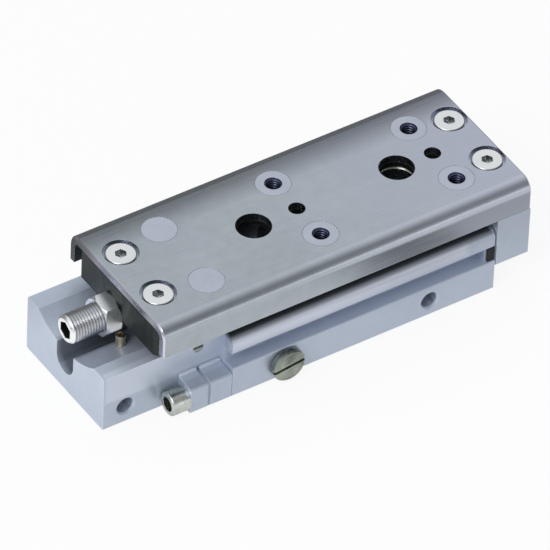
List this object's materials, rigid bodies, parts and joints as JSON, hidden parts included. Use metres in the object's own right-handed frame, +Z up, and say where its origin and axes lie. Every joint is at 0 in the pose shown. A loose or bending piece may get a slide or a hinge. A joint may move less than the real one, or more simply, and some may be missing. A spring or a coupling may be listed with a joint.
{
  "type": "pneumatic slide table",
  "caption": "Compact air-driven linear slide: a bent steel table on a ball guide, moved by pistons in an aluminium body, with a rear screw that sets the stroke.",
  "frame": {"origin": "centre of the body's base face", "axes": "+X the way the table extends, towards the end plate; +Y the far side, away from the air ports; +Z up, out of the table's top face"},
  "size_m": [0.1127, 0.0422, 0.029],
  "materials": {
    "body_anodised": "fine satin, pale blue-grey anodised",
    "end_plate_anodised": "fine satin, pale blue-grey anodised",
    "table_stainless": "satin rolled stainless sheet",
    "guide_steel": "ground",
    "block_steel": "dark machined",
    "bright_steel": "bright plated",
    "plain_steel_screws": "plain",
    "boss_metal": "light satin",
    "ball_steel": "polished",
    "rod_chrome": "polished",
    "spring_steel": "blued",
    "cover_aluminium": "turned",
    "magnet_black": "bonded magnet",
    "nickel_brass": "nickel over brass, worn to brass at the edges",
    "cap_resin": "moulded",
    "black_rubber": "matte",
    "grey_gasket": "smooth grey",
    "tip_urethane": "satin"
  },
  "bodies": {
    "root": {"cylinder_body": "body_anodised", "near_rod_cover": "cover_aluminium", "far_rod_cover": "cover_aluminium", "rod_seals": "black_rubber", "cover_rings": "black_rubber", "snap_rings": "spring_steel", "guide_block": "guide_steel", "guide_screws": "plain_steel_screws", "guide_dowel": "guide_steel", "rear_end_cap": "cap_resin", "front_end_cap": "cap_resin", "end_cap_screws": "plain_steel_screws", "rear_wiper": "black_rubber", "front_wiper": "black_rubber", "near_ball_loop": "ball_steel", "far_ball_loop": "ball_steel", "stop_disc": "guide_steel", "stop_disc_screw": "plain_steel_screws", "port_plug": "nickel_brass", "port_plug_gasket": "black_rubber", "axial_port_block": "body_anodised", "axial_port_plate": "body_anodised", "port_block_gasket": "grey_gasket", "hollow_bolt": "nickel_brass", "recess_set_screw": "plain_steel_screws", "trough_screw": "nickel_brass", "passage_plugs": "plain_steel_screws", "groove_bumper": "black_rubber"},
    "slide": {"table_plate": "table_stainless", "table_rail": "guide_steel", "thread_inserts": "boss_metal", "blank_bosses": "boss_metal", "rear_block": "block_steel", "rear_block_screws": "bright_steel", "end_plate": "end_plate_anodised", "end_plate_screws": "bright_steel", "retract_bumpers": "black_rubber", "near_piston": "cover_aluminium", "far_piston": "cover_aluminium", "near_piston_rod": "rod_chrome", "far_piston_rod": "rod_chrome", "piston_seals": "black_rubber", "piston_magnets": "magnet_black", "piston_bumpers": "black_rubber", "rod_end_screws": "plain_steel_screws", "adjuster_lock_nut": "bright_steel"},
    "adjuster": {"adjuster_screw": "bright_steel", "adjuster_tip": "tip_urethane"}
  },
  "joints": [
    {"name": "table_slide", "type": "slide", "parent": "root", "child": "slide", "axis": [1, 0, 0], "range_m": [0, 0.03]},
    {"name": "adjuster_feed", "type": "slide", "parent": "slide", "child": "adjuster", "axis": [1, 0, 0], "range_m": [-0.005, 0]}
  ]
}
